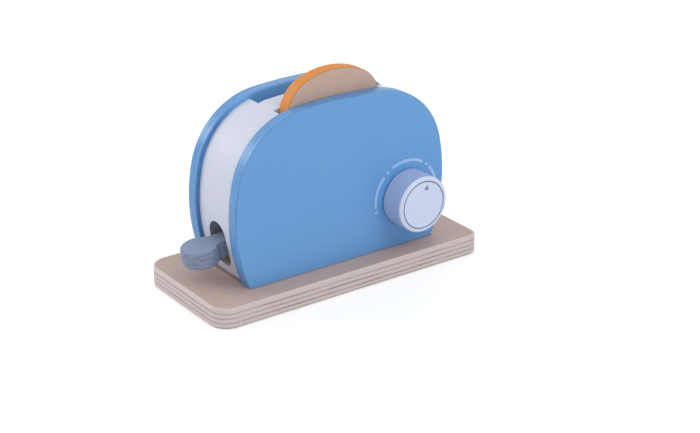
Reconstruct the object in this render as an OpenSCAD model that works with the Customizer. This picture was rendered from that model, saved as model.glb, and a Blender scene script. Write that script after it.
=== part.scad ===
// Wooden toy toaster: a see-saw lever lifts a slice of bread, and a dial turns on the front.
// Millimetres, +Z up. The origin is the middle of the base board's underside. +X runs along the
// toaster, away from the lever's tab, and the dial is on the -Y side.

/* [Base board] */
// Length of the base board
base_l = 215; // [205:1:250]
// Depth of the base board, front to back
base_w = 95; // [85:1:120]
// Thickness of the base board
base_t = 15; // [12:1:18]
// Radius of the base board's corners at the tab's end, seen from above
base_tab_corner_r = 13; // [5:1:20]
// Radius of the base board's corners at the dial's end, seen from above
base_dial_corner_r = 7; // [5:1:20]
// Rounding of the base board's upper and lower edges
base_edge_r = 1.5; // [0.5:0.5:3]

/* [Body outline] */
// Widest measure of the side panels, end to end
body_w = 170.5; // [165:0.5:175]
// Height of the side panels above the base board
body_h = 117; // [113:1:122]
// Radius of the nearly flat arc along the top
top_arc_r = 390; // [340:10:440]
// Radius of the arc round each shoulder
shoulder_arc_r = 55; // [50:1:60]
// Radius of the arc down each end
side_arc_r = 120; // [110:2:134]
// Height above the base board at which the body is widest
widest_z = 46; // [43:0.5:50]
// Shift of the body along the base board, which leaves more room at the tab
body_shift = 2.4; // [0:0.2:6]
// Thickness of the front and back panels
panel_t = 10; // [8:0.5:13]
// Rounding of the panels' edges
panel_edge_r = 1; // [0.5:0.5:3]
// Thickness of the core between the panels
core_t = 40; // [38:1:46]
// How far the core lies inside the panels' outline
core_inset = 2.8; // [1:0.2:4]

/* [Bread slots] */
// Length of each bread slot
slot_l = 83; // [80:1:86]
// Width of each bread slot
slot_w = 11; // [10:0.5:12]
// Depth of the grooves that hold the divider's ends
groove_depth = 4; // [2:0.5:6]

/* [Slice of bread] */
// Height of the slice
slice_h = 96; // [92:1:100]
// Gap between the slice and each end of its slot
slice_end_gap = 1.5; // [1:0.5:3]
// Gap between each face of the slice and its slot
slice_face_gap = 0.5; // [0.5:0.25:1.5]
// Height of the step under the slice's crown
slice_step_z = 46; // [42:1:50]
// Inset of the step under the slice's crown
slice_step = 7.5; // [5:0.5:9]
// Spread of the slice's lower part from the step to its foot, on each side
slice_spread = 1.5; // [0:0.5:3]
// Radius of the arc over the slice's crown
slice_top_r = 58; // [54:1:64]
// Radius of the arc round each shoulder of the slice
slice_shoulder_r = 26; // [23:1:29]
// Radius of the slight arc down each side of the crown
slice_side_r = 100; // [90:2:120]
// Rounding of the slice's corners
slice_corner_r = 4; // [2:0.5:5]

/* [Lever] */
// Thickness of the lever's board
lever_t = 12; // [10:0.5:13]
// Rounding of the tab's and the neck's edges
lever_edge_r = 1.5; // [0.5:0.5:2.5]
// Diameter of the round tab
tab_d = 26; // [22:1:30]
// Distance from the body's end to the middle of the tab
tab_standoff = 14.5; // [13:0.5:17]
// Distance from the slot's end to the pivot
pivot_inset = 18.5; // [15:0.5:22]
// Distance from the pivot to the middle of the lift bar
lift_reach = 71; // [66:1:74]
// Gap between the lift bar's ends and the panels
lift_end_gap = 1; // [0.5:0.25:2]
// Slope of the lever as it stands, in degrees
rest_tilt = 7; // [4:0.5:7.5]
// Further turn when the tab is pressed down, in degrees
press_travel = 14; // [10:0.5:15.5]
// Turn back until the lift bar is down, in degrees
release_travel = 21; // [16:0.5:22]
// Gap under the lift bar when it is down
floor_gap = 1; // [0.5:0.25:2]
// Gap between the neck and the divider's faces, on each side
neck_gap = 1.5; // [1:0.25:2]
// Gap between the neck and each side of its window
window_side_gap = 2.5; // [1.5:0.5:3.5]
// Gap above and below the lever at the ends of its travel
window_gap = 4; // [3.6:0.1:5]
// Diameter of the pivot pin
pin_d = 5; // [4:0.5:6]
// Outer diameter of the two friction washers on the pin
washer_d = 12; // [10:0.5:13]

/* [Dial] */
// Diameter of the knob
knob_d = 40.5; // [34:0.5:46]
// How far the knob stands out from the panel
knob_reach = 20; // [16:0.5:24]
// Rounding of the knob's front edge
knob_edge_r = 2; // [1:0.5:5]
// Distance of the knob's axis from the body's middle
knob_x = 53; // [50:0.5:56]
// Height of the knob's axis above the base board
knob_z = 35.1; // [32:0.1:40]
// Diameter of the washer behind the knob
knob_washer_d = 12; // [10:0.5:16]
// Thickness of the washer behind the knob
knob_washer_t = 0.8; // [0.5:0.1:1.5]

/* [Fasteners] */
// Diameter of every screw's shank
screw_d = 4; // [3:0.5:5]
// Diameter of the knob screw's head
knob_screw_head_d = 8; // [7:0.5:9]
// Depth of the knob screw's head
knob_screw_head_t = 2.8; // [2:0.2:3.4]
// Length of the knob screw in the knob
knob_screw_grip = 13; // [9:0.5:14]
// Length of the wood screws under the base board
wood_screw_l = 30; // [26:1:32]
// Diameter of the wood screws' countersunk heads
wood_screw_head_d = 8; // [7:0.5:9]
// Distance from the slot's end to the wood screws
wood_screw_inset = 13; // [9:0.5:16]
// Diameter of the joining dowels
dowel_d = 8; // [6:1:10]
// Length of the joining dowels in a panel
dowel_panel_l = 6; // [4:0.5:7]
// Length of the joining dowels in the core
dowel_core_l = 9; // [6:0.5:9.5]
// Height of the lower dowels above the base board
dowel_low_z = 58; // [52:1:62]
// Height of the upper dowels above the base board
dowel_high_z = 88; // [80:1:90]

/* [Hidden] */

fine = 180; // facets of the large arcs in a preview
plate_fn = 120; // facets of the arcs round the two panels
round_fn = 64; // facets of pins, bores and dowels in a preview
edge_steps = 3; // steps of a rounded edge over a quarter turn
eps = 1; // length by which a cut passes the face it cuts

pin_play = 0.08; // radial running clearance of the lever on its pin
knob_play = 0.08; // radial running clearance of the knob's screw in the panel
seat_play = 0.05; // radial clearance of screws, pins and dowels that are glued or driven in
seat_gap = 0.3; // gap under the slice, and past each end of the pin
rub_gap = 0.1; // gap between washers or screw heads and the faces they run on
blind_gap = 0.5; // length by which a blind hole is deeper than what it holds
recess_play = 0.75; // room round the knob screw's head in its recess

blue = "#6b9fd5";
white = "#d8dceb";
blue_grey = "#8a97b0";
bare_wood = "#c4b0a2";
crust = "#e8913a";
steel = "#b9bcc2";
fibre = "#a0644a";
knob_white = "#dfe3f2";

// An outline of three tangent arcs on each side. Each list holds [top radius, shoulder radius,
// side radius, half of the width, height, height of the widest point].
body_arcs = [top_arc_r, shoulder_arc_r, side_arc_r, body_w / 2, body_h, widest_z];

function top_centre(arcs) = [0, arcs[4] - arcs[0]];
function side_centre(arcs) = [arcs[3] - arcs[2], arcs[5]];
// The shoulder arc touches both others from inside, so its centre lies where two circles cross.
function shoulder_centre(arcs) =
    let (from = top_centre(arcs),
         span = side_centre(arcs) - from,
         far = norm(span),
         along = ((arcs[0] - arcs[1]) ^ 2 - (arcs[2] - arcs[1]) ^ 2 + far ^ 2) / (2 * far),
         aside = sqrt((arcs[0] - arcs[1]) ^ 2 - along ^ 2),
         way = span / far)
    from + along * way + aside * [way[1], -way[0]];
function bearing(from, to) = atan2(to[1] - from[1], to[0] - from[0]);
function top_angle(arcs) = bearing(top_centre(arcs), shoulder_centre(arcs));
function side_angle(arcs) = bearing(side_centre(arcs), shoulder_centre(arcs));
function polar(centre, r, angle) = centre + r * [cos(angle), sin(angle)];
function mirrored(p) = [-p[0], p[1]];
// Half of the outline's width at a height, with the outline drawn in by an inset
function half_width(arcs, z, inset) =
    let (meet = polar(side_centre(arcs), arcs[2], side_angle(arcs))[1],
         centre = z < meet ? side_centre(arcs) : shoulder_centre(arcs),
         r = (z < meet ? arcs[2] : arcs[1]) - inset)
    centre[0] + sqrt(r ^ 2 - (z - centre[1]) ^ 2);

slot_end = slot_l / 2;
divider_t = core_t - 2 * slot_w;
slot_mid_y = (divider_t + slot_w) / 2;

slice_t = slot_w - 2 * slice_face_gap;
slice_half = slot_end - slice_end_gap;
slice_arcs = [slice_top_r, slice_shoulder_r, slice_side_r, slice_half, slice_h,
              slice_step_z + slice_corner_r];

down_tilt = release_travel - rest_tilt;
up_tilt = rest_tilt + press_travel;
pivot_x = slot_end + pivot_inset;
pivot_z = lever_t / 2 + lift_reach * sin(down_tilt) + floor_gap;
core_end_x = half_width(body_arcs, pivot_z, core_inset);
tab_reach = (core_end_x - pivot_x + tab_standoff) / cos(rest_tilt);
neck_w = divider_t - 2 * neck_gap;
lift_l = core_t - 2 * lift_end_gap;
slice_z = pivot_z + lift_reach * sin(rest_tilt) + lever_t / 2 + seat_gap;

// The window in the end block clears the neck at both ends of the lever's travel.
window_w = neck_w + 2 * window_side_gap;
window_r = window_w / 2;
window_low = pivot_z - (core_end_x - pivot_x) * tan(up_tilt) - lever_t / 2 / cos(up_tilt) - window_gap;
window_high = pivot_z + (core_end_x - pivot_x) * tan(down_tilt) + lever_t / 2 / cos(down_tilt)
    + window_gap;
// The divider is cut away under a line that runs along the lever at its highest.
room_rise = (lever_t / 2 + window_gap) / cos(up_tilt);
room_turn_x = -pivot_x + lift_reach * cos(up_tilt);
room_end_x = -pivot_x + lift_reach + lever_t / 2 + window_gap;
divider_end = slot_end + groove_depth;
function room_z(x) = pivot_z + room_rise + (x + pivot_x) * tan(up_tilt);

washer_t = window_side_gap - 2 * rub_gap;
panel_face_y = core_t / 2 + panel_t;
knob_t = knob_reach - knob_washer_t - rub_gap;
knob_back_y = -panel_face_y - knob_washer_t - rub_gap;
knob_recess_t = knob_screw_head_t + rub_gap + blind_gap;
knob_recess_d = knob_screw_head_d + 2 * recess_play;

wood_screw_x = slot_end + wood_screw_inset;
wood_screw_y = (window_r + core_t / 2) / 2;
wood_screw_sink = 0.5; // depth of the screw heads under the base board's underside
wood_screw_cone = (wood_screw_head_d - screw_d) / 2;
cross_l = 4.4; // length of the cross recess in a screw's head
cross_w = 1; // width of the cross recess
cross_depth = 1.2; // depth of the cross recess

// A board's section from 0 out to r, with its two outer edges rounded
function rim_profile(r, t, edge) = concat(
    [[0, 0]],
    [for (i = [0:edge_steps])
        [r - edge + edge * sin(90 * i / edge_steps), edge - edge * cos(90 * i / edge_steps)]],
    [for (i = [0:edge_steps])
        [r - edge + edge * cos(90 * i / edge_steps), t - edge + edge * sin(90 * i / edge_steps)]],
    [[0, t]]);

// The outline of three tangent arcs on each side, drawn in by an inset
module outline(arcs, inset, arc_fn) {
    side = side_centre(arcs);
    shoulder = shoulder_centre(arcs);
    low = polar(side, arcs[2], side_angle(arcs));
    high = polar(top_centre(arcs), arcs[0], top_angle(arcs));
    wide = arcs[3] + eps;
    tall = arcs[4] + eps;
    intersection() {
        translate(top_centre(arcs))
            circle(r = arcs[0] - inset, $fn = arc_fn);
        translate(side)
            circle(r = arcs[2] - inset, $fn = arc_fn);
        translate(mirrored(side))
            circle(r = arcs[2] - inset, $fn = arc_fn);
        polygon([[-wide, 0], [wide, 0], [wide, low[1]], low, high, [high[0], tall],
                 [-high[0], tall], mirrored(high), mirrored(low), [-wide, low[1]]]);
    }
    for (centre = [shoulder, mirrored(shoulder)])
        translate(centre)
            circle(r = arcs[1] - inset, $fn = arc_fn);
}

// A side panel lying flat, as the hull of ever wider and thinner plates that round its edges
module plate(arcs, t, edge) {
    hull()
        for (i = [0:edge_steps])
            translate([0, 0, edge - edge * cos(90 * i / edge_steps)])
                linear_extrude(t - 2 * edge + 2 * edge * cos(90 * i / edge_steps))
                    outline(arcs, edge - edge * sin(90 * i / edge_steps), plate_fn);
}

// Places a piece on the base board, at the middle of the body
module on_base() {
    translate([body_shift, 0, base_t])
        children();
}

// Stands a flat shape up on its lower edge, with its thickness running back from the given y
module upright(y) {
    translate([0, y, 0])
        rotate([90, 0, 0])
            children();
}

module core_between(x_from, x_to) {
    intersection() {
        upright(core_t / 2)
            linear_extrude(core_t)
                outline(body_arcs, core_inset, fine);
        translate([x_from, -core_t / 2 - eps, -eps])
            cube([x_to - x_from, core_t + 2 * eps, body_h + 2 * eps]);
    }
}

// A round bar along Y, centred on the middle plane
module cross_bar(d, l) {
    rotate([90, 0, 0])
        cylinder(h = l, d = d, center = true, $fn = round_fn);
}

module dowel_places(side) {
    for (z = [dowel_low_z, dowel_high_z])
        translate([side * (slot_end + half_width(body_arcs, z, core_inset)) / 2, 0, z])
            children();
}

// Dowels, or their holes, across the joint at one face of the core
module dowels_at(face, play, extra) {
    for (side = [-1, 1])
        dowel_places(side)
            translate([0, face * (core_t / 2 + (dowel_panel_l - dowel_core_l) / 2), 0])
                cross_bar(dowel_d + 2 * play, dowel_panel_l + dowel_core_l + 2 * extra);
}

module dowel_holes() {
    for (face = [-1, 1])
        dowels_at(face, seat_play, blind_gap);
}

module wood_screw_places() {
    for (side = [-1, 1], row = [-1, 1])
        translate([side * wood_screw_x, row * wood_screw_y, -base_t + wood_screw_sink])
            children();
}

// A countersunk screw pointing up, or with play its hole
module wood_screw(play, extra) {
    cylinder(h = wood_screw_cone, r1 = wood_screw_head_d / 2 + play, r2 = screw_d / 2 + play,
             $fn = round_fn);
    cylinder(h = wood_screw_l + extra, r = screw_d / 2 + play, $fn = round_fn);
}

module wood_screw_holes() {
    wood_screw_places() {
        wood_screw(seat_play, blind_gap);
        translate([0, 0, -wood_screw_sink - eps])
            cylinder(h = wood_screw_sink + eps, r = wood_screw_head_d / 2 + seat_play,
                     $fn = round_fn);
    }
}

module cross_recess() {
    for (turn = [0, 90])
        rotate([0, 0, turn])
            translate([-cross_l / 2, -cross_w / 2, -eps])
                cube([cross_l, cross_w, cross_depth + eps]);
}

// A straight stretch of rounded edge along X, from the X axis out to +Y
module edge_strip(l, w, t, edge) {
    rotate([90, 0, 90])
        linear_extrude(l, center = true)
            polygon(rim_profile(w, t, edge));
}

module base_board() {
    straight_l = base_l - base_tab_corner_r - base_dial_corner_r;
    color(bare_wood)
        difference() {
            union() {
                for (turn = [0, 180])
                    translate([(base_tab_corner_r - base_dial_corner_r) / 2, 0, 0])
                        rotate([0, 0, turn])
                            edge_strip(straight_l, base_w / 2, base_t, base_edge_r);
                for (side = [-1, 1]) {
                    r = side < 0 ? base_tab_corner_r : base_dial_corner_r;
                    translate([side * (base_l / 2 - r), 0, 0]) {
                        rotate([0, 0, -90 * side])
                            edge_strip(base_w - 2 * r, r, base_t, base_edge_r);
                        for (row = [-1, 1])
                            translate([0, row * (base_w / 2 - r), 0])
                                rotate_extrude($fn = fine)
                                    polygon(rim_profile(r, base_t, base_edge_r));
                    }
                }
            }
            on_base()
                wood_screw_holes();
        }
}

module front_panel() {
    color(blue)
        on_base()
            difference() {
                upright(-core_t / 2)
                    plate(body_arcs, panel_t, panel_edge_r);
                dowel_holes();
                translate([knob_x, 0, knob_z]) {
                    translate([0, -panel_face_y, 0])
                        cross_bar(screw_d + 2 * knob_play, 2 * panel_t + 2 * eps);
                    translate([0, -core_t / 2, 0])
                        cross_bar(knob_recess_d, 2 * knob_recess_t);
                }
            }
}

module back_panel() {
    color(blue)
        on_base()
            difference() {
                upright(panel_face_y)
                    plate(body_arcs, panel_t, panel_edge_r);
                dowel_holes();
            }
}

// The lever's window, with a roof that rises inwards along the lever at its highest
module lever_window() {
    straight_h = window_high - window_low - window_w;
    translate([-body_w, 0, 0])
        rotate([90, 0, 90])
            linear_extrude(body_w) {
                translate([0, window_low + window_r])
                    circle(r = window_r, $fn = round_fn);
                translate([0, window_high - window_r])
                    circle(r = window_r, $fn = round_fn);
                translate([-window_r, window_low + window_r])
                    square([window_w, straight_h]);
            }
    upright(divider_t / 2)
        linear_extrude(divider_t)
            polygon([[-pivot_x, pivot_z], [-pivot_x, room_z(-pivot_x)],
                     [eps - slot_end, room_z(eps - slot_end)], [eps - slot_end, pivot_z]]);
}

module divider_groove(side, floor_z) {
    translate([side > 0 ? slot_end - eps : -divider_end, -divider_t / 2, floor_z])
        cube([groove_depth + eps, divider_t, body_h]);
}

module left_end_block() {
    color(white)
        on_base()
            difference() {
                core_between(-body_w, -slot_end);
                lever_window();
                divider_groove(-1, room_z(-divider_end));
                translate([-pivot_x, 0, pivot_z])
                    cross_bar(pin_d + 2 * seat_play, core_t + 2 * eps);
                dowel_holes();
                wood_screw_holes();
            }
}

module right_end_block() {
    color(white)
        on_base()
            difference() {
                core_between(slot_end, body_w);
                divider_groove(1, -eps);
                dowel_holes();
                wood_screw_holes();
            }
}

module centre_divider() {
    color(white)
        on_base()
            difference() {
                intersection() {
                    core_between(-divider_end, divider_end);
                    translate([-body_w, -divider_t / 2, -eps])
                        cube([2 * body_w, divider_t, body_h + 2 * eps]);
                }
                upright(divider_t / 2 + eps)
                    linear_extrude(divider_t + 2 * eps)
                        polygon([[-body_w, -eps], [-body_w, room_z(-divider_end)],
                                 [-divider_end, room_z(-divider_end)],
                                 [room_turn_x, room_z(room_turn_x)],
                                 [room_end_x, room_z(room_turn_x)], [room_end_x, -eps]]);
            }
}

// The lever lies level here, with its pivot at the origin and the tab towards -X
module lever_shape() {
    half_t = lever_t / 2;
    rounded_l = tab_reach - pin_d;
    difference() {
        union() {
            translate([-tab_reach, 0, -half_t])
                rotate_extrude($fn = fine)
                    polygon(rim_profile(tab_d / 2, lever_t, lever_edge_r));
            for (turn = [0, 180])
                translate([-tab_reach + rounded_l / 2, 0, -half_t])
                    rotate([0, 0, turn])
                        edge_strip(rounded_l, neck_w / 2, lever_t, lever_edge_r);
            upright(neck_w / 2)
                linear_extrude(neck_w) {
                    translate([rounded_l - tab_reach, -half_t])
                        square([tab_reach - rounded_l + lift_reach, lever_t]);
                    translate([lift_reach, 0])
                        circle(d = lever_t, $fn = round_fn);
                }
            for (face = [-1, 1])
                translate([lift_reach, face * (neck_w + lift_l) / 4, 0])
                    cross_bar(lever_t, (lift_l - neck_w) / 2);
        }
        cross_bar(pin_d + 2 * pin_play, neck_w + 2 * eps);
    }
}

module lever() {
    color(blue_grey)
        on_base()
            translate([-pivot_x, 0, pivot_z])
                rotate([0, -rest_tilt, 0])
                    lever_shape();
}

module pivot_pin() {
    color(steel)
        on_base()
            translate([-pivot_x, 0, pivot_z])
                cross_bar(pin_d, core_t - 2 * seat_gap);
}

module friction_washers() {
    color(fibre)
        on_base()
            for (side = [-1, 1])
                translate([-pivot_x, side * (neck_w + window_side_gap) / 2, pivot_z])
                    difference() {
                        cross_bar(washer_d, washer_t);
                        cross_bar(pin_d + 2 * seat_play, washer_t + 2 * eps);
                    }
}

function corner(x, z, from) =
    [for (i = [0:edge_steps]) polar([x, z], slice_corner_r, from + 90 * i / edge_steps)];

module slice_outline() {
    crown_low = slice_step_z + slice_corner_r;
    waist_half = slice_half - slice_step;
    foot_half = waist_half + slice_spread;
    intersection() {
        outline(slice_arcs, 0, fine);
        translate([-slice_half, crown_low])
            square([2 * slice_half, slice_h]);
    }
    polygon(concat(corner(slice_half - slice_corner_r, crown_low, -90),
                   corner(slice_corner_r - slice_half, crown_low, 180)));
    polygon(concat(corner(foot_half - slice_corner_r, slice_corner_r, -90),
                   [[waist_half, crown_low], [-waist_half, crown_low]],
                   corner(slice_corner_r - foot_half, slice_corner_r, 180)));
}

module toast_slice() {
    color(crust)
        on_base()
            translate([0, 0, slice_z])
                upright(-slot_mid_y + slice_t / 2)
                    linear_extrude(slice_t)
                        slice_outline();
}

module dial_knob() {
    color(knob_white)
        on_base()
            translate([knob_x, knob_back_y, knob_z])
                rotate([90, 0, 0])
                    difference() {
                        rotate_extrude($fn = fine)
                            polygon(concat([[0, 0], [knob_d / 2, 0]],
                                [for (i = [0:edge_steps])
                                    [knob_d / 2 - knob_edge_r + knob_edge_r * cos(90 * i / edge_steps),
                                     knob_t - knob_edge_r + knob_edge_r * sin(90 * i / edge_steps)]],
                                [[0, knob_t]]));
                        translate([0, 0, -eps])
                            cylinder(h = knob_screw_grip + blind_gap + eps, d = screw_d + 2 * seat_play,
                                     $fn = round_fn);
                    }
}

module knob_screw() {
    head_y = -core_t / 2 - knob_recess_t + rub_gap;
    shank_l = head_y - knob_back_y + knob_screw_grip;
    color(steel)
        on_base()
            translate([knob_x, head_y, knob_z])
                rotate([90, 0, 0])
                    difference() {
                        union() {
                            translate([0, 0, -knob_screw_head_t])
                                cylinder(h = knob_screw_head_t, d = knob_screw_head_d, $fn = round_fn);
                            cylinder(h = shank_l, d = screw_d, $fn = round_fn);
                        }
                        translate([0, 0, -knob_screw_head_t])
                            cross_recess();
                    }
}

module knob_washer() {
    color(steel)
        on_base()
            translate([knob_x, -panel_face_y - knob_washer_t / 2, knob_z])
                difference() {
                    cross_bar(knob_washer_d, knob_washer_t);
                    cross_bar(screw_d + 2 * knob_play, knob_washer_t + 2 * eps);
                }
}

module base_screws() {
    color(steel)
        on_base()
            wood_screw_places()
                difference() {
                    wood_screw(0, 0);
                    cross_recess();
                }
}

module front_dowels() {
    color(bare_wood)
        on_base()
            dowels_at(-1, 0, 0);
}

module back_dowels() {
    color(bare_wood)
        on_base()
            dowels_at(1, 0, 0);
}

base_board();
front_panel();
back_panel();
left_end_block();
right_end_block();
centre_divider();
lever();
pivot_pin();
friction_washers();
toast_slice();
dial_knob();
knob_screw();
knob_washer();
base_screws();
front_dowels();
back_dowels();
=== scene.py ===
import math

import bmesh
import bpy
from mathutils import Matrix, Quaternion, Vector


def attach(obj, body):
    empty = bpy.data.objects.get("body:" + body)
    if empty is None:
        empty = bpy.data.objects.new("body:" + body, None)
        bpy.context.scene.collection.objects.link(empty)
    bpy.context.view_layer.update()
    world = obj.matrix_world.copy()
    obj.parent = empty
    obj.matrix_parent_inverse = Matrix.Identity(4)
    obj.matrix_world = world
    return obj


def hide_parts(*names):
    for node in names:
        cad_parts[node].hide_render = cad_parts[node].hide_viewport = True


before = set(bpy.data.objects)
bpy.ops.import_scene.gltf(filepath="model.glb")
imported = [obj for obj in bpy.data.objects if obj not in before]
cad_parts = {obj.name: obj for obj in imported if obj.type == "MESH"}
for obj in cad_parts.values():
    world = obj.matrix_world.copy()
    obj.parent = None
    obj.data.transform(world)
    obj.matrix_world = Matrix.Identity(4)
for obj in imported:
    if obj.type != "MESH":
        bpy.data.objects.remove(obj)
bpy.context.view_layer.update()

scene = bpy.context.scene
mm = 0.001
tiny = 0.001  # in mm, closer than this counts as the same place
white = (1, 1, 1, 1)
bodyPlace = {"x": 2.4, "z": 15}  # the body's middle and foot on the base board, in mm
leverPlace = {"pivot": (-57.6, 0, 39.176), "tilt": 7, "board": 12}  # mm, and degrees of slope
print("toaster frame loaded")


# The linear colour that a socket takes, from an sRGB hex value
def linearColour(hexText):
    parts = [int(hexText[at:at + 2], 16) / 255 for at in (1, 3, 5)]
    return [*(p / 12.92 if p <= 0.04045 else ((p + 0.055) / 1.055) ** 2.4 for p in parts), 1]


# Adds a node; an input is either a value or the socket that it is linked to. A colour Mix has its
# share on input 0, its two colours on 6 and 7, and its result on output 2.
def addNode(tree, kind, inputs=None, **settings):
    node = tree.nodes.new("ShaderNode" + kind)
    for name, value in settings.items():
        setattr(node, name, value)
    for socket, value in (inputs or {}).items():
        if isinstance(value, bpy.types.NodeSocket):
            tree.links.new(value, node.inputs[socket])
        else:
            node.inputs[socket].default_value = value
    return node


def startMaterial(name, **sockets):
    material = bpy.data.materials.new(name)
    material.use_nodes = True
    tree = material.node_tree
    shader = tree.nodes["Principled BSDF"]
    for socket, value in sockets.items():
        shader.inputs[socket.replace("_", " ")].default_value = value
    return material, tree, shader, addNode(tree, "TexCoord").outputs


# Cloudy or streaky variation from 0 to 1, with patches so many mm long along X, Y and Z
def mottle(tree, place, size, detail=2):
    stretched = addNode(tree, "Mapping", {"Vector": place, "Scale": [1 / (s * mm) for s in size]})
    return addNode(tree, "TexNoise", {
        "Vector": stretched.outputs[0], "Scale": 1, "Detail": detail}).outputs["Fac"]


# How squarely a face looks along one axis: 0 on a board's edge and 1 on its two faces
def facing(tree, normal, axis, span):
    split = addNode(tree, "SeparateXYZ", {0: normal})
    size = addNode(tree, "Math", {0: split.outputs[axis]}, operation="ABSOLUTE")
    return addNode(tree, "MapRange", {"Value": size.outputs[0], "From Min": span[0],
                                      "From Max": span[1]},
                   interpolation_type="SMOOTHSTEP").outputs[0]


# A board's plies, counted along its depth: 0 or 1 for every other ply, and 1 on the thin lines
# where they are glued. The waves bend them a little, as a real board's are.
def plies(tree, place, depth, ply):
    waves = mottle(tree, place, ply["waves"], ply["waveDetail"])
    bent = addNode(tree, "Math", {0: waves, 1: ply["wobble"] * mm, 2: depth},
                   operation="MULTIPLY_ADD")
    counted = addNode(tree, "Math", {0: bent.outputs[0], 1: ply["thickness"] * mm},
                      operation="DIVIDE")
    whole = addNode(tree, "Math", {0: counted.outputs[0]}, operation="FLOOR")
    other = addNode(tree, "Math", {0: whole.outputs[0], 1: 2}, operation="FLOORED_MODULO")
    fromLine = addNode(tree, "Math", {0: counted.outputs[0], 1: 0.5}, operation="PINGPONG")
    glue = addNode(tree, "MapRange", {"Value": fromLine.outputs[0], "From Min": 0,
                                      "From Max": ply["glue"] / ply["thickness"],
                                      "To Min": 1, "To Max": 0})
    return other.outputs[0], glue.outputs[0]


# Every finish is a little smoother where its pattern is low, and rougher where it is high.
glossSpread = {"low": 0.3, "high": 0.7, "smoother": 0.05, "rougher": 0.06}


# Wires a finish: its colour, a roughness that follows a pattern, and a relief in mm
def wireFinish(tree, shader, colour, pattern, height, look):
    gloss = addNode(tree, "MapRange", {"Value": pattern, "From Min": glossSpread["low"],
                                       "From Max": glossSpread["high"],
                                       "To Min": look["roughness"] - glossSpread["smoother"],
                                       "To Max": look["roughness"] + glossSpread["rougher"]})
    relief = addNode(tree, "Bump", {"Height": height, "Distance": look["relief"] * mm})
    tree.links.new(colour.outputs[2], shader.inputs["Base Color"])
    tree.links.new(gloss.outputs[0], shader.inputs["Roughness"])
    tree.links.new(relief.outputs[0], shader.inputs["Normal"])


# Painted shade: the corner between a panel and the core is darkened, at the sides more than on top
def seamShade(tree, place, depth, colour, look):
    seam = addNode(tree, "MapRange", {"Value": depth, "From Min": look["seamFrom"] * mm,
                                      "From Max": look["seamTo"] * mm,
                                      "To Min": look["seamShare"], "To Max": 0})
    split = addNode(tree, "SeparateXYZ", {0: place})
    along = addNode(tree, "Math", {0: split.outputs[0]}, operation="ABSOLUTE")
    out = addNode(tree, "MapRange", {"Value": along.outputs[0], "From Min": look["seamTop"] * mm,
                                     "From Max": look["seamSide"] * mm})
    share = addNode(tree, "Math", {0: seam.outputs[0], 1: out.outputs[0]}, operation="MULTIPLY")
    return addNode(tree, "Mix", {0: share.outputs[0], 6: colour.outputs[2],
                                 7: linearColour(look["seam"])}, data_type="RGBA")


# Both panels' plies are counted outwards from the toaster's middle plane.
def panelDepth(tree, place):
    split = addNode(tree, "SeparateXYZ", {0: place})
    return addNode(tree, "Math", {0: split.outputs[1]}, operation="ABSOLUTE").outputs[0], 1


# The lever's plies lie along its own slope, so its coordinates are turned back to level.
def leverDepth(tree, place):
    level = addNode(tree, "Mapping", {
        "Vector": place, "Location": [v * mm for v in leverPlace["pivot"]],
        "Rotation": (0, math.radians(-leverPlace["tilt"]), 0)}, vector_type="TEXTURE")
    split = addNode(tree, "SeparateXYZ", {0: level.outputs[0]})
    return addNode(tree, "Math", {0: split.outputs[2], 1: leverPlace["board"] / 2 * mm},
                   operation="ADD").outputs[0], 2


# What all sprayed boards share: where a face turns into an edge, the span of the brushed streaks,
# and how much deeper the glue lines sink than the spray's own relief
sprayed = {"specular": 0.4, "faceSpan": (0.75, 0.95), "streakSpan": (0.38, 0.62), "lineSink": -2}


# Satin enamel sprayed on birch plywood: even and smooth on the faces, while the sawn edges are a
# little deeper in colour, in streaks, with the plies faint under it.
def paintedPlywood(name, look):
    material, tree, shader, coords = startMaterial(name, Specular_IOR_Level=sprayed["specular"])
    place = coords["Object"]
    depth, axis = look["depth"](tree, place)
    cloud = mottle(tree, place, (look["cloud"],) * 3)
    streak = mottle(tree, place, look["streak"], detail=4)
    peel = mottle(tree, place, (look["peel"],) * 3)
    other, glue = plies(tree, place, depth, look["ply"])
    face = facing(tree, coords["Normal"], axis, sprayed["faceSpan"])
    paint = addNode(tree, "Mix", {0: cloud, 6: linearColour(look["paint"]),
                                  7: linearColour(look["paintDeep"])}, data_type="RGBA")
    brushed = addNode(tree, "MapRange", {"Value": streak, "From Min": sprayed["streakSpan"][0],
                                         "From Max": sprayed["streakSpan"][1]})
    rim = addNode(tree, "Mix", {0: brushed.outputs[0], 6: linearColour(look["edgeDark"]),
                                7: linearColour(look["edgeLight"])}, data_type="RGBA")
    banded = addNode(tree, "Math", {0: other, 1: look["bandShare"]}, operation="MULTIPLY")
    rim = addNode(tree, "Mix", {0: banded.outputs[0], 6: rim.outputs[2],
                                7: linearColour(look["edgeLight"])}, data_type="RGBA")
    lined = addNode(tree, "Math", {0: glue, 1: look["lineShare"]}, operation="MULTIPLY")
    rim = addNode(tree, "Mix", {0: lined.outputs[0], 6: rim.outputs[2],
                                7: linearColour(look["line"])}, data_type="RGBA")
    colour = addNode(tree, "Mix", {0: face, 6: rim.outputs[2], 7: paint.outputs[2]},
                     data_type="RGBA")
    # painted shade in the corner between a panel and the core
    if "seam" in look:
        colour = seamShade(tree, place, depth, colour, look)
    edge = addNode(tree, "Math", {0: 1, 1: face}, operation="SUBTRACT")
    sunk = addNode(tree, "Math", {0: glue, 1: edge.outputs[0]}, operation="MULTIPLY")
    height = addNode(tree, "Math", {0: sunk.outputs[0], 1: sprayed["lineSink"], 2: peel},
                     operation="MULTIPLY_ADD")
    wireFinish(tree, shader, colour, streak, height.outputs[0], look)
    return material
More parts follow.
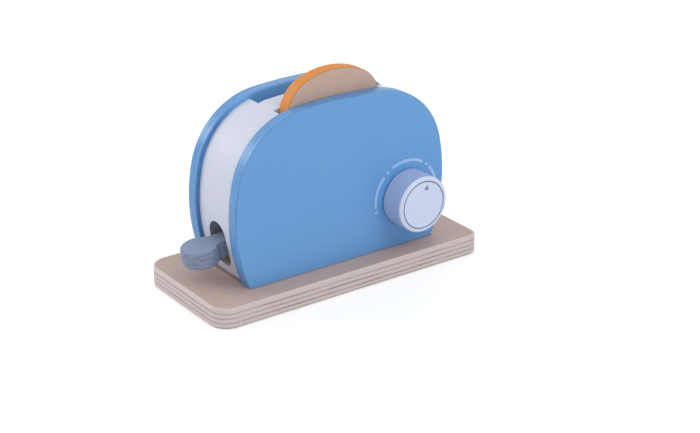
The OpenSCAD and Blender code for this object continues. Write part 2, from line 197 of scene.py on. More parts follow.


# The side panels: light blue and satin, with painted shade in the corner beside the core
panelLook = {
    "depth": panelDepth, "roughness": 0.33, "cloud": 70, "streak": (28, 0.7, 28), "peel": 1.4,
    "relief": 0.01,
    "ply": {"thickness": 2, "wobble": 0.5, "glue": 0.25, "waves": (25, 25, 25), "waveDetail": 1},
    "paint": "#6fa9e2", "paintDeep": "#6aa3df", "edgeDark": "#4f87c6", "edgeLight": "#6fa9df",
    "bandShare": 0.2, "line": "#467cb9", "lineShare": 0.25,
    "seam": "#3f75b2", "seamFrom": 20, "seamTo": 21.8, "seamShare": 0.8, "seamTop": 48,
    "seamSide": 64}
# The lever: a matter, greyer blue, with its plies showing through at the rounded edge
leverLook = {
    "depth": leverDepth, "roughness": 0.5, "cloud": 14, "streak": (5, 5, 0.4), "peel": 0.8,
    "relief": 0.05,
    "ply": {"thickness": leverPlace["board"] / 7, "wobble": 0.6, "glue": 0.35,  # seven plies
            "waves": (25, 25, 25), "waveDetail": 1},
    "paint": "#909fba", "paintDeep": "#8695b2", "edgeDark": "#707c97", "edgeLight": "#949fbb",
    "bandShare": 0.4, "line": "#5d6984", "lineShare": 0.6}


# Painted shadow: a dark line on the base board's top, along the foot of both side panels
def footShadowLine(tree, place, colour, look):
    split = addNode(tree, "SeparateXYZ", {0: place})
    off = addNode(tree, "Math", {0: split.outputs[1]}, operation="ABSOLUTE")
    line = addNode(tree, "MapRange", {"Value": off.outputs[0], "From Min": look["footFrom"] * mm,
                                      "From Max": look["footTo"] * mm,
                                      "To Min": look["footShare"], "To Max": 0})
    along = addNode(tree, "Math", {0: split.outputs[0], 1: bodyPlace["x"] * mm},
                    operation="SUBTRACT")
    along = addNode(tree, "Math", {0: along.outputs[0]}, operation="ABSOLUTE")
    near = addNode(tree, "Math", {0: along.outputs[0], 1: look["footHalf"] * mm},
                   operation="LESS_THAN")
    above = addNode(tree, "Math", {0: split.outputs[2], 1: look["footLevel"] * mm},
                    operation="GREATER_THAN")
    share = addNode(tree, "Math", {0: line.outputs[0], 1: near.outputs[0]}, operation="MULTIPLY")
    share = addNode(tree, "Math", {0: share.outputs[0], 1: above.outputs[0]}, operation="MULTIPLY")
    return addNode(tree, "Mix", {0: share.outputs[0], 6: colour.outputs[2],
                                 7: linearColour(look["foot"])}, data_type="RGBA")


# Bare edge: a stack of plies, each second one cut across its grain and so greyer in its middle.
# The grey comes and goes along the edge, and the top ply has none.
def pliedRim(tree, place, look):
    split = addNode(tree, "SeparateXYZ", {0: place})
    depth = addNode(tree, "Math", {0: split.outputs[2], 1: look["shift"] * mm}, operation="ADD")
    other, glue = plies(tree, place, depth.outputs[0], look["ply"])
    fibre = mottle(tree, place, look["edgeGrain"], detail=4)
    pale = addNode(tree, "Mix", {0: fibre, 6: linearColour(look["pale"]),
                                 7: linearColour(look["paleDeep"])}, data_type="RGBA")
    grey = addNode(tree, "Mix", {0: fibre, 6: linearColour(look["grey"]),
                                 7: linearColour(look["greyDeep"])}, data_type="RGBA")
    middle = addNode(tree, "Math", {0: 1, 1: glue}, operation="SUBTRACT")
    dark = addNode(tree, "Math", {0: other, 1: middle.outputs[0]}, operation="MULTIPLY")
    stainAndShade = addNode(tree, "MapRange", {"Value": mottle(tree, place, look["stainAndShade"]),
                                       "From Min": look["stainSpan"][0],
                                       "From Max": look["stainSpan"][1],
                                       "To Min": look["stainLow"], "To Max": 1})
    dark = addNode(tree, "Math", {0: dark.outputs[0], 1: stainAndShade.outputs[0]}, operation="MULTIPLY")
    under = addNode(tree, "Math", {0: split.outputs[2], 1: look["paleFrom"] * mm},
                    operation="LESS_THAN")
    dark = addNode(tree, "Math", {0: dark.outputs[0], 1: under.outputs[0]}, operation="MULTIPLY")
    bands = addNode(tree, "Mix", {0: dark.outputs[0], 6: pale.outputs[2], 7: grey.outputs[2]},
                    data_type="RGBA")
    return bands.outputs[2], dark.outputs[0]


# Painted rim: orange that thins in patches, and turns olive where it laps onto the bare face
def toastedRim(tree, place, look):
    worn = mottle(tree, place, look["edgeGrain"], detail=3)
    thin = addNode(tree, "MapRange", {"Value": worn, "From Min": look["thinSpan"][0],
                                      "From Max": look["thinSpan"][1], "To Min": 0,
                                      "To Max": look["thinShare"]})
    orange = addNode(tree, "Mix", {0: thin.outputs[0], 6: linearColour(look["orange"]),
                                   7: linearColour(look["thin"])}, data_type="RGBA")
    split = addNode(tree, "SeparateXYZ", {0: place})
    across = addNode(tree, "Math", {0: split.outputs[1], 1: look["middleY"] * mm},
                     operation="SUBTRACT")
    reach = addNode(tree, "Math", {0: across.outputs[0]}, operation="ABSOLUTE")
    lap = addNode(tree, "MapRange", {"Value": reach.outputs[0], "From Min": look["lapFrom"] * mm,
                                     "From Max": look["lapTo"] * mm, "To Min": 0,
                                     "To Max": look["lapShare"]})
    return addNode(tree, "Mix", {0: lap.outputs[0], 6: orange.outputs[2],
                                 7: linearColour(look["lap"])},
                   data_type="RGBA").outputs[2], worn


# What the bare boards share: the spans of their veins and flecks, and how deep the rim's pattern
# sinks beside the grain's own relief
lacquered = {"specular": 0.3, "veinSpan": (0.35, 0.65), "fleckSpan": (0.6, 0.72), "rimSink": -0.8}


# Birch plywood under a thin matt lacquer: pinkish beige with soft clouds and a fine straight
# grain on its faces. Each board has its own rim.
def barePlywood(name, look):
    material, tree, shader, coords = startMaterial(name, Specular_IOR_Level=lacquered["specular"])
    place = coords["Object"]
    cloud = mottle(tree, place, look["cloud"], detail=3)
    grain = mottle(tree, place, look["grain"], detail=4)
    fleck = mottle(tree, place, look["fleck"])
    face = addNode(tree, "Mix", {0: cloud, 6: linearColour(look["face"]),
                                 7: linearColour(look["faceDeep"])}, data_type="RGBA")
    veins = addNode(tree, "MapRange", {"Value": grain, "From Min": lacquered["veinSpan"][0],
                                       "From Max": lacquered["veinSpan"][1],
                                       "To Min": look["veinShare"], "To Max": 0})
    face = addNode(tree, "Mix", {0: veins.outputs[0], 6: face.outputs[2],
                                 7: linearColour(look["vein"])}, data_type="RGBA")
    spots = addNode(tree, "MapRange", {"Value": fleck, "From Min": lacquered["fleckSpan"][0],
                                       "From Max": lacquered["fleckSpan"][1], "To Min": 0,
                                       "To Max": look["fleckShare"]})
    face = addNode(tree, "Mix", {0: spots.outputs[0], 6: face.outputs[2],
                                 7: linearColour(look["vein"])}, data_type="RGBA")
    # painted shadow along the foot of the side panels
    if "foot" in look:
        face = footShadowLine(tree, place, face, look)
    rim, pattern = look["rim"](tree, place, look)
    flat = facing(tree, coords["Normal"], look["axis"], look["faceSpan"])
    colour = addNode(tree, "Mix", {0: flat, 6: rim, 7: face.outputs[2]}, data_type="RGBA")
    sunk = addNode(tree, "Math", {0: pattern, 1: lacquered["rimSink"], 2: grain},
                   operation="MULTIPLY_ADD")
    wireFinish(tree, shader, colour, grain, sunk.outputs[0], look)
    return material


# The base board: its plies lie level and show all round its edge
baseLook = {
    "rim": pliedRim, "axis": 2, "faceSpan": (0.75, 0.95), "roughness": 0.5, "relief": 0.04,
    "cloud": (45, 18, 18), "grain": (40, 1.1, 1.1), "fleck": (6, 0.7, 0.7),
    "face": "#d2bbb6", "faceDeep": "#c5a899", "vein": "#a98c80", "veinShare": 0.16,
    "fleckShare": 0.25, "shift": 1.5,
    "ply": {"thickness": bodyPlace["z"] / 9, "wobble": 0.7, "glue": 0.5,  # nine plies
            "waves": (30, 30, 12), "waveDetail": 2},
    "edgeGrain": (6, 6, 0.4), "pale": "#ddd0ce", "paleDeep": "#d2c5c2", "grey": "#ad9c97",
    "greyDeep": "#9e8d88", "stainAndShade": (35, 35, 4), "stainSpan": (0.35, 0.65), "stainLow": 0.35,
    "paleFrom": 13.2, "foot": "#7d675f", "footFrom": 30, "footTo": 32.4, "footShare": 0.7,
    "footHalf": 76, "footLevel": 14}
# The slice: its grain stands upright, and its rim is painted like a crust
sliceLook = {
    "rim": toastedRim, "axis": 1, "faceSpan": (0.9, 0.99), "roughness": 0.55, "relief": 0.04,
    "cloud": (14, 14, 22), "grain": (1.2, 1.2, 30), "fleck": (0.7, 0.7, 4),
    "face": "#d6baaa", "faceDeep": "#cbaa99", "vein": "#b0907f", "veinShare": 0.14,
    "fleckShare": 0.2, "edgeGrain": (9, 7, 9), "orange": "#e28e3b", "thin": "#d49c70",
    "thinSpan": (0.45, 0.75), "thinShare": 0.7, "middleY": -14.5, "lapFrom": 4.3, "lapTo": 4.75,
    "lapShare": 0.75, "lap": "#a8863f"}


# Painted shade on raw wood: the walls of the lever's window are coloured grey above and paler
# towards the sill. The walls' span runs backwards, so that the block's own end face keeps its
# paint.
def insideWindow(tree, place, normal, colour, look):
    split = addNode(tree, "SeparateXYZ", {0: place})
    aside = addNode(tree, "Math", {0: split.outputs[1]}, operation="ABSOLUTE")
    near = addNode(tree, "Math", {0: aside.outputs[0], 1: look["insideHalf"] * mm},
                   operation="LESS_THAN")
    low = addNode(tree, "Math", {0: split.outputs[2], 1: look["insideTop"] * mm},
                  operation="LESS_THAN")
    both = addNode(tree, "Math", {0: near.outputs[0], 1: low.outputs[0]}, operation="MULTIPLY")
    wall = facing(tree, normal, 0, look["wallSpan"])
    walls = addNode(tree, "Math", {0: both.outputs[0], 1: wall}, operation="MULTIPLY")
    deep = addNode(tree, "MapRange", {"Value": split.outputs[2], "From Min": look["sillLow"] * mm,
                                      "From Max": look["sillHigh"] * mm})
    stainAndShade = addNode(tree, "Mix", {0: deep.outputs[0], 6: linearColour(look["sill"]),
                                  7: linearColour(look["inside"])}, data_type="RGBA")
    return addNode(tree, "Mix", {0: walls.outputs[0], 6: colour.outputs[2],
                                 7: stainAndShade.outputs[2]}, data_type="RGBA")


# What all painted solid wood shares: its gloss, and where the paint thins over the grain
brushedOn = {"specular": 0.45, "thinSpan": (0.55, 0.8)}


# Satin paint on solid wood, sanded smooth: close to plain, with the grain just felt under it.
def paintedWood(name, look):
    material, tree, shader, coords = startMaterial(name, Specular_IOR_Level=brushedOn["specular"])
    place = coords["Object"]
    cloud = mottle(tree, place, (look["cloud"],) * 3)
    fibre = mottle(tree, place, look["fibre"], detail=4)
    colour = addNode(tree, "Mix", {0: cloud, 6: linearColour(look["paint"]),
                                   7: linearColour(look["paintDeep"])}, data_type="RGBA")
    thin = addNode(tree, "MapRange", {"Value": fibre, "From Min": brushedOn["thinSpan"][0],
                                      "From Max": brushedOn["thinSpan"][1], "To Min": 0,
                                      "To Max": look["thinShare"]})
    colour = addNode(tree, "Mix", {0: thin.outputs[0], 6: colour.outputs[2],
                                   7: linearColour(look["thin"])}, data_type="RGBA")
    # painted shade and a painted blue reflection of the panel: the knob's side is darker and bluer
    # than its face
    if "side" in look:
        front = facing(tree, coords["Normal"], 1, look["sideSpan"])
        colour = addNode(tree, "Mix", {0: front, 6: linearColour(look["side"]),
                                       7: colour.outputs[2]}, data_type="RGBA")
    # painted shade on the raw wood inside the lever's window
    if "inside" in look:
        colour = insideWindow(tree, place, coords["Normal"], colour, look)
    wireFinish(tree, shader, colour, fibre, fibre, look)
    return material


# The core: off-white with a touch of blue, with painted shade on the raw wood inside the lever's
# window
coreLook = {
    "roughness": 0.5, "cloud": 45, "fibre": (0.8, 0.8, 30), "relief": 0.03,
    "paint": "#d9ddec", "paintDeep": "#d1d6e7", "thinShare": 0.15, "thin": "#c3c6d8",
    "inside": "#949ba2", "insideHalf": 10.3, "insideTop": 55, "wallSpan": (0.75, 0.35),
    "sill": "#d5ccc2", "sillLow": 24, "sillHigh": 36}
# The knob: as smooth as the panels, and bluer round its side than on its face, with painted shade
# and a painted blue reflection of the panel there
knobLook = {
    "roughness": 0.33, "cloud": 25, "fibre": (0.8, 25, 0.8), "relief": 0.015,
    "paint": "#dbe5fb", "paintDeep": "#d3ddf8", "thinShare": 0.1, "thin": "#c2cde8",
    "side": "#b0c0e2", "sideSpan": (0.05, 0.5)}
# The ring on the knob's face: slate blue paint in a shallow groove
ringLook = {
    "roughness": 0.5, "cloud": 10, "fibre": (0.5, 0.5, 0.5), "relief": 0.01,
    "paint": "#587299", "paintDeep": "#4f698f", "thinShare": 0.2, "thin": "#7287a6"}
# The pointer: thin grey paint that is worn in specks
pointerLook = {
    "roughness": 0.5, "cloud": 3, "fibre": (0.4, 0.4, 0.4), "relief": 0.01,
    "paint": "#838ca3", "paintDeep": "#7a839c", "thinShare": 0.4, "thin": "#a3acc0"}
# The marks round the dial: pale blue screen print, a little uneven
markLook = {
    "roughness": 0.45, "cloud": 6, "fibre": (0.6, 0.6, 0.6), "relief": 0.01,
    "paint": "#aed0fb", "paintDeep": "#a1c6f8", "thinShare": 0.25, "thin": "#8cb8ec"}

panelPaint = paintedPlywood("bluePaintedPlywood", panelLook)
leverPaint = paintedPlywood("greyBluePaintedPlywood", leverLook)
corePaint = paintedWood("whitePaintedPine", coreLook)
knobPaint = paintedWood("whitePaintedTurnedBeech", knobLook)
ringPaint = paintedWood("slateBlueLinePaint", ringLook)
pointerPaint = paintedWood("greyPointerPaint", pointerLook)
markPaint = paintedWood("paleBlueScreenPrint", markLook)
basePly = barePlywood("lacqueredBirchPlywood", baseLook)
slicePly = barePlywood("birchPlywoodWithOrangeRim", sliceLook)
print("paints and plywood ready")


# One material in two tones that a fine pattern mixes, which also sets its gloss and relief
def twoTone(name, look, **sockets):
    material, tree, shader, coords = startMaterial(name, **sockets)
    pattern = mottle(tree, coords["Object"], look["pattern"], look["detail"])
    colour = addNode(tree, "Mix", {0: pattern, 6: linearColour(look["dark"]),
                                   7: linearColour(look["light"])}, data_type="RGBA")
    wireFinish(tree, shader, colour, pattern, pattern, look)
    return material


# Zinc-plated steel of the screws, the pin and the washer: grey, a little mottled, half bright.
zincLook = {"pattern": (1.5, 1.5, 1.5), "detail": 3, "dark": "#a9adb3", "light": "#c6c9ce",
            "roughness": 0.35, "relief": 0.01}
# Vulcanised fibre of the friction washers: dull red-brown with a felted surface.
fibreLook = {"pattern": (0.4, 0.4, 0.4), "detail": 4, "dark": "#8f4a38", "light": "#a85a46",
             "roughness": 0.7, "relief": 0.03}
# Bare beech of the dowels: pale tan with short fine flecks along the dowel.
beechLook = {"pattern": (0.4, 3, 0.4), "detail": 3, "dark": "#b8926b", "light": "#d3b18a",
             "roughness": 0.65, "relief": 0.03}

zinc = twoTone("zincPlatedSteel", zincLook, Metallic=1)
fibre = twoTone("vulcanisedFibre", fibreLook)
beech = twoTone("bareBeech", beechLook, Specular_IOR_Level=0.3)
nodeFinishes = {"pivot_pin": zinc, "knob_screw": zinc, "knob_washer": zinc, "base_screws": zinc,
                "friction_washers": fibre, "front_dowels": beech, "back_dowels": beech}
for nodeName, finish in nodeFinishes.items():
    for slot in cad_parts[nodeName].material_slots:
        slot.material = finish
print("metal, fibre and beech ready")


# Stands a flat shape up: its Y becomes Z, and what was its top faces the toaster's front, -Y.
upright = Matrix.Rotation(math.radians(90), 4, "X")


def vertsOf(result, key="geom"):
    return [item for item in result[key] if isinstance(item, bmesh.types.BMVert)]


# An outline is drawn flat, vertex by vertex: lines go to a point, arcs spin the last vertex.
def lineTo(bm, last, x, y):
    vert = bm.verts.new((x, y, 0))
    if last:
        bm.edges.new((last, vert))
    return vert


def arcOn(bm, last, centre, degrees, steps):
    swept = bmesh.ops.spin(bm, geom=[last], cent=(centre[0], centre[1], 0), axis=(0, 0, 1),
                           dvec=(0, 0, 0), angle=math.radians(degrees), steps=steps,
                           use_duplicate=False)
    return vertsOf(swept, "geom_last")[0]


# Closes and fills the outline that was drawn, and gives it a thickness upwards
def thicken(bm, thickness):
    bmesh.ops.remove_doubles(bm, verts=bm.verts, dist=tiny)
    ends = [vert for vert in bm.verts if len(vert.link_edges) == 1]
    if ends:
        bm.edges.new(ends)
    filled = bmesh.ops.edgeloop_fill(bm, edges=bm.edges)
    raised = bmesh.ops.extrude_face_region(bm, geom=filled["faces"])
    bmesh.ops.translate(bm, vec=(0, 0, thickness), verts=vertsOf(raised))
    bmesh.ops.recalc_face_normals(bm, faces=bm.faces)


def roundEdges(bm, edges, radius, segments, clamp=False):
    bmesh.ops.bevel(bm, geom=edges, offset=radius, offset_type="OFFSET", segments=segments,
                    profile=0.5, affect="EDGES", clamp_overlap=clamp, material=-1)


# Rounds the long edges round both faces of a thickened outline, where the test says so
def softenRims(bm, thickness, shape, wanted=lambda edge: True):
    rims = [edge for edge in bm.edges
            if abs(edge.verts[0].co.z - edge.verts[1].co.z) < tiny
            and min(abs(edge.verts[0].co.z), abs(edge.verts[0].co.z - thickness)) < tiny
            and wanted(edge)]
    roundEdges(bm, rims, shape["edge"], shape["edgeSegments"])


# A round bar or cutter in mm, standing along Z unless it is turned
def addRound(bm, centre, radii, length, turn=Matrix(), segments=48):
    bmesh.ops.create_cone(bm, cap_ends=True, segments=segments, radius1=radii[0],
                          radius2=radii[1], depth=length,
                          matrix=Matrix.Translation(centre) @ turn)


def meshFrom(bm, name):
    mesh = bpy.data.meshes.new(name)
    bm.to_mesh(mesh)
    bm.free()
    return mesh


# Cuts the cutter's shape out of a shape; both are in mm and the result is a new bmesh
def cutOut(bm, cutter):
    body = bpy.data.objects.new("cutBody", meshFrom(bm, "cutBody"))
    tool = bpy.data.objects.new("cutTool", meshFrom(cutter, "cutTool"))
    for item in (body, tool):
        scene.collection.objects.link(item)
    cut = body.modifiers.new("cut", "BOOLEAN")
    cut.operation = "DIFFERENCE"
    cut.solver = "EXACT"
    cut.object = tool
    bpy.context.view_layer.update()
    done = body.evaluated_get(bpy.context.evaluated_depsgraph_get())
    left = bmesh.new()
    left.from_mesh(done.to_mesh())
    done.to_mesh_clear()
    for item in (body, tool):
        bpy.data.meshes.remove(item.data)  # its object goes with it
    return left


# Turns a shape in mm into a finished piece in metres, smooth but for its real corners
def finishPiece(bm, name, body, materials, nodes=(), sharp=32):
    bmesh.ops.scale(bm, vec=(mm, mm, mm), verts=bm.verts)
    bmesh.ops.recalc_face_normals(bm, faces=bm.faces)
    gaps = sum(not edge.is_manifold for edge in bm.edges)
    mesh = meshFrom(bm, name)
    mesh.shade_smooth()
    mesh.set_sharp_from_angle(angle=math.radians(sharp))
    for material in materials:
        mesh.materials.append(material)
    piece = bpy.data.objects.new(name, mesh)
    scene.collection.objects.link(piece)
    even = piece.modifiers.new("evenNormals", "WEIGHTED_NORMAL")
    even.keep_sharp = True
    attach(piece, body)
    if nodes:
        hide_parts(*nodes)
    print(name, len(mesh.polygons), "faces,", gaps, "open edges")


# An arched outline is three tangent arcs on each side: these are the centres of its top, its
# right shoulder and its right side.
def archCentres(arch):
    top = Vector((0, arch["height"] - arch["topRadius"]))
    side = Vector((arch["halfWidth"] - arch["sideRadius"], arch["widest"]))
    span = side - top
    inTop = arch["topRadius"] - arch["shoulderRadius"]
    inSide = arch["sideRadius"] - arch["shoulderRadius"]
    along = (inTop ** 2 - inSide ** 2 + span.length_squared) / (2 * span.length)
    aside = math.sqrt(inTop ** 2 - along ** 2)
    way = span.normalized()
    return top, top + way * along + Vector((way.y, -way.x)) * aside, side


def bearing(start, end):
    return math.degrees(math.atan2(end.y - start.y, end.x - start.x))


# Draws the arch from the foot on the right, over the top, to the same height on the left
def drawArch(bm, last, arch, footHeight):
    top, shoulder, side = archCentres(arch)
    sideSteps, shoulderSteps, topSteps = arch["steps"]
    foot = math.degrees(math.asin((footHeight - side.y) / arch["sideRadius"]))
    high = bearing(side, shoulder)
    crown = bearing(top, shoulder)
    start = side + arch["sideRadius"] * Vector((math.cos(math.radians(foot)),
                                                math.sin(math.radians(foot))))
    last = lineTo(bm, last, start.x, start.y)
    last = arcOn(bm, last, side, high - foot, sideSteps)
    last = arcOn(bm, last, shoulder, crown - high, shoulderSteps)
    last = arcOn(bm, last, top, 180 - 2 * crown, topSteps)
    last = arcOn(bm, last, (-shoulder.x, shoulder.y), crown - high, shoulderSteps)
    return arcOn(bm, last, (-side.x, side.y), high - foot, sideSteps)


def onBody(bm, y):
    place = Matrix.Translation((bodyPlace["x"], y, bodyPlace["z"])) @ upright
    bmesh.ops.transform(bm, matrix=place, verts=bm.verts)


bodyArch = {"topRadius": 390, "shoulderRadius": 55, "sideRadius": 120, "halfWidth": 85.25,
            "height": 117, "widest": 46, "steps": (14, 20, 24)}
panelShape = {"thickness": 10, "edge": 1, "edgeSegments": 4, "face": 30, "hole": 2.08,
              "holeDrill": 14, "recess": 4.75, "recessDepth": 3.4}
dialShape = {"x": 55.4, "z": 50.1}  # the dial's axis


# A panel's foot keeps its square edges, because it stands on the base board.
def makePanel(name, node, backY, cutter=None):
    bm = bmesh.new()
    drawArch(bm, None, bodyArch, 0)
    thicken(bm, panelShape["thickness"])
    softenRims(bm, panelShape["thickness"], panelShape,
               lambda edge: max(vert.co.y for vert in edge.verts) > tiny)
    onBody(bm, backY)
    if cutter:
        bm = cutOut(bm, cutter)
    finishPiece(bm, name, "housing", [panelPaint], [node])


# The dial's screw runs in a hole through the front panel, with its head in a recess inside.
def dialHoles(innerY):
    bm = bmesh.new()
    hole, recess = panelShape["hole"], panelShape["recess"]
    addRound(bm, (dialShape["x"], innerY - panelShape["thickness"] / 2, dialShape["z"]),
             (hole, hole), panelShape["holeDrill"], upright)
    addRound(bm, (dialShape["x"], innerY, dialShape["z"]), (recess, recess),
             2 * panelShape["recessDepth"], upright)
    return bm


frontInner = panelShape["thickness"] - panelShape["face"]
makePanel("frontPanel", "front_panel", frontInner, dialHoles(frontInner))
makePanel("backPanel", "back_panel", panelShape["face"])
print("side panels made")


coreShape = {"weld": 0.002, "sliversAbove": 70, "sliverAngle": 0.2, "sharp": 25}


# The core's blocks keep their own shape; the copies are merged and shade smoothly. Towards the
# top, slivers of faces that would show as creases are joined to their neighbours.
def smoothCopy(name, node):
    bm = bmesh.new()
    bm.from_mesh(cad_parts[node].data)
    bmesh.ops.scale(bm, vec=(1 / mm,) * 3, verts=bm.verts)
    bmesh.ops.remove_doubles(bm, verts=bm.verts, dist=coreShape["weld"])
    high = [vert for vert in bm.verts if vert.co.z > coreShape["sliversAbove"]]
    bmesh.ops.dissolve_limit(bm, angle_limit=math.radians(coreShape["sliverAngle"]), verts=high,
                             edges=list({edge for vert in high for edge in vert.link_edges}))
    finishPiece(bm, name, "housing", [corePaint], [node], coreShape["sharp"])


for coreName, coreNode in (("leftEndBlock", "left_end_block"), ("rightEndBlock", "right_end_block"),
                           ("centreDivider", "centre_divider")):
    smoothCopy(coreName, coreNode)
print("core made")


# The board's corners are rounder at the lever's end than at the dial's.
baseShape = {"length": 215, "width": 95, "thickness": bodyPlace["z"], "tabCorner": 13,
             "dialCorner": 7, "cornerSegments": 16, "edge": 1.5, "edgeSegments": 4,
             "screws": ((-52.1, -15), (-52.1, 15), (56.9, -15), (56.9, 15)),
             "head": 4.05, "shank": 2.05, "sink": 0.5, "taper": 2}


# The countersinks of the four screws: a short straight part for the head, then the taper
def screwSinks():
    bm = bmesh.new()
    head, shank, sink = baseShape["head"], baseShape["shank"], baseShape["sink"]
    for x, y in baseShape["screws"]:
        addRound(bm, (x, y, 0), (head, head), 2 * sink)
        addRound(bm, (x, y, sink + baseShape["taper"] / 2), (head, shank), baseShape["taper"])
    return bm


def makeBase():
    bm = bmesh.new()
    size = Matrix.Diagonal((baseShape["length"], baseShape["width"], baseShape["thickness"], 1))
    lift = Matrix.Translation((0, 0, baseShape["thickness"] / 2))
    bmesh.ops.create_cube(bm, size=1, matrix=lift @ size)
    for side, radius in ((-1, baseShape["tabCorner"]), (1, baseShape["dialCorner"])):
        corners = [edge for edge in bm.edges if edge.verts[0].co.x * side > 0
                   and abs(edge.verts[0].co.z - edge.verts[1].co.z) > tiny]
        roundEdges(bm, corners, radius, baseShape["cornerSegments"])
    softenRims(bm, baseShape["thickness"], baseShape)
    bm = cutOut(bm, screwSinks())
    finishPiece(bm, "baseBoard", "housing", [basePly], ["base_board"])


makeBase()
print("base board made")


leverShape = {"reach": 35.16, "tabRadius": 13, "tabSteps": 72, "neckHalf": 7.5, "edge": 1.5,
              "edgeSegments": 4, "pinHole": 2.58, "pinDrill": 22.5, "liftReach": 71,
              "barRadius": 6, "barLength": 38, "barEdge": 0.8, "barSegments": 2}


def placeLever(bm):
    place = Matrix.Translation(leverPlace["pivot"]) @ Matrix.Rotation(
        math.radians(-leverPlace["tilt"]), 4, "Y")
    bmesh.ops.transform(bm, matrix=place, verts=bm.verts)


# The lever's board is drawn round its pivot, from the lift bar to the round tab and back.
def makeLever():
    half, radius = leverShape["neckHalf"], leverShape["tabRadius"]
    join = math.degrees(math.asin(half / radius))
    joinX = -leverShape["reach"] + radius * math.cos(math.radians(join))
    bm = bmesh.new()
    last = lineTo(bm, None, leverShape["liftReach"], half)
    last = lineTo(bm, last, joinX, half)
    last = arcOn(bm, last, (-leverShape["reach"], 0), 360 - 2 * join, leverShape["tabSteps"])
    lineTo(bm, last, leverShape["liftReach"], -half)
    thicken(bm, leverPlace["board"])
    softenRims(bm, leverPlace["board"], leverShape,
               lambda edge: min(vert.co.x for vert in edge.verts) < leverShape["liftReach"] - tiny)
    bmesh.ops.translate(bm, vec=(0, 0, -leverPlace["board"] / 2), verts=bm.verts)
    pin = bmesh.new()
    addRound(pin, (0, 0, 0), (leverShape["pinHole"],) * 2, leverShape["pinDrill"], upright)
    bm = cutOut(bm, pin)
    placeLever(bm)
    finishPiece(bm, "leverBoard", "lever", [leverPaint], ["lever"])


def makeLiftBar():
    bm = bmesh.new()
    addRound(bm, (leverShape["liftReach"], 0, 0), (leverShape["barRadius"],) * 2,
             leverShape["barLength"], upright)
    ends = [edge for edge in bm.edges if abs(edge.verts[0].co.y - edge.verts[1].co.y) < tiny]
    roundEdges(bm, ends, leverShape["barEdge"], leverShape["barSegments"], clamp=True)
    placeLever(bm)
    finishPiece(bm, "liftBar", "lever", [leverPaint], ["lever"])


makeLever()
makeLiftBar()
print("lever made")


sliceArch = {"topRadius": 58, "shoulderRadius": 26, "sideRadius": 100, "halfWidth": 40,
             "height": 96, "widest": 50, "steps": (6, 16, 16)}
sliceShape = {"corner": 4, "cornerSteps": 6, "foot": 34, "waist": 32.63, "step": 46,
              "thickness": 10, "edge": 0.8, "edgeSegments": 3, "backY": -9.5, "lift": 39.11}


# The slice's outline runs from its foot on the right, over the crown, to the foot on the left.
def makeSlice():
    bm = bmesh.new()
    corner, foot, step = sliceShape["corner"], sliceShape["foot"], sliceShape["step"]
    steps = sliceShape["cornerSteps"]
    crown = sliceArch["halfWidth"] - corner
    last = lineTo(bm, None, foot - corner, 0)
    last = arcOn(bm, last, (foot - corner, corner), 90, steps)
    last = lineTo(bm, last, sliceShape["waist"], step)
    last = lineTo(bm, last, crown, step)
    last = arcOn(bm, last, (crown, step + corner), 90, steps)
    last = drawArch(bm, last, sliceArch, sliceArch["widest"])
    last = arcOn(bm, last, (-crown, step + corner), 90, steps)
    last = lineTo(bm, last, -sliceShape["waist"], step)
    last = lineTo(bm, last, -foot, corner)
    arcOn(bm, last, (corner - foot, corner), 90, steps)
    thicken(bm, sliceShape["thickness"])
    softenRims(bm, sliceShape["thickness"], sliceShape)
    bmesh.ops.translate(bm, vec=(0, sliceShape["lift"], 0), verts=bm.verts)
    onBody(bm, sliceShape["backY"])
    finishPiece(bm, "toastSlice", "toast", [slicePly], ["toast_slice"])


makeSlice()
print("slice made")


knobShape = {"backY": -30.9, "height": 19.04, "radius": 20.25, "edge": 2, "edgeSteps": 8,
             "turnSteps": 128, "ring": 16.95, "ringHalf": 0.36, "ringDepth": 0.3, "bore": 2.05,
             "boreDepth": 13.5, "backEdge": 0.5}


def onDial(bm, y):
    place = Matrix.Translation((dialShape["x"], y, dialShape["z"])) @ upright
    bmesh.ops.transform(bm, matrix=place, verts=bm.verts)


# The knob's half section is drawn flat, stood up and spun round its axis. The ring is a shallow
# painted groove, and the bore takes the screw.
def makeKnob():
    tall, radius, edge = knobShape["height"], knobShape["radius"], knobShape["edge"]
    ring, half, backEdge = knobShape["ring"], knobShape["ringHalf"], knobShape["backEdge"]
    low = tall - knobShape["ringDepth"]
    bm = bmesh.new()
    last = None
    for x, y in ((0, tall), (ring - half, tall), (ring - half / 2, low), (ring + half / 2, low),
                 (ring + half, tall), (radius - edge, tall)):
        last = lineTo(bm, last, x, y)
    last = arcOn(bm, last, (radius - edge, tall - edge), -90, knobShape["edgeSteps"])
    for x, y in ((radius, backEdge), (radius - backEdge, 0), (knobShape["bore"], 0),
                 (knobShape["bore"], knobShape["boreDepth"]), (0, knobShape["boreDepth"])):
        last = lineTo(bm, last, x, y)
    bmesh.ops.transform(bm, matrix=upright, verts=bm.verts)
    bmesh.ops.spin(bm, geom=bm.verts[:] + bm.edges[:], cent=(0, 0, 0), axis=(0, 0, 1),
                   dvec=(0, 0, 0), angle=math.tau, steps=knobShape["turnSteps"], use_merge=True,
                   use_duplicate=False)
    bmesh.ops.remove_doubles(bm, verts=bm.verts, dist=tiny)
    for face in bm.faces:
        middle = face.calc_center_median()
        if middle.z > low - tiny and abs(math.hypot(middle.x, middle.y) - ring) < half:
            face.material_index = 1
    onDial(bm, knobShape["backY"])
    finishPiece(bm, "dialKnob", "dial", [knobPaint, ringPaint], ["dial_knob"])


pointerShape = {"turn": 11, "low": 10.8, "high": 14.5, "half": 1.95, "film": 0.12, "face": 50}


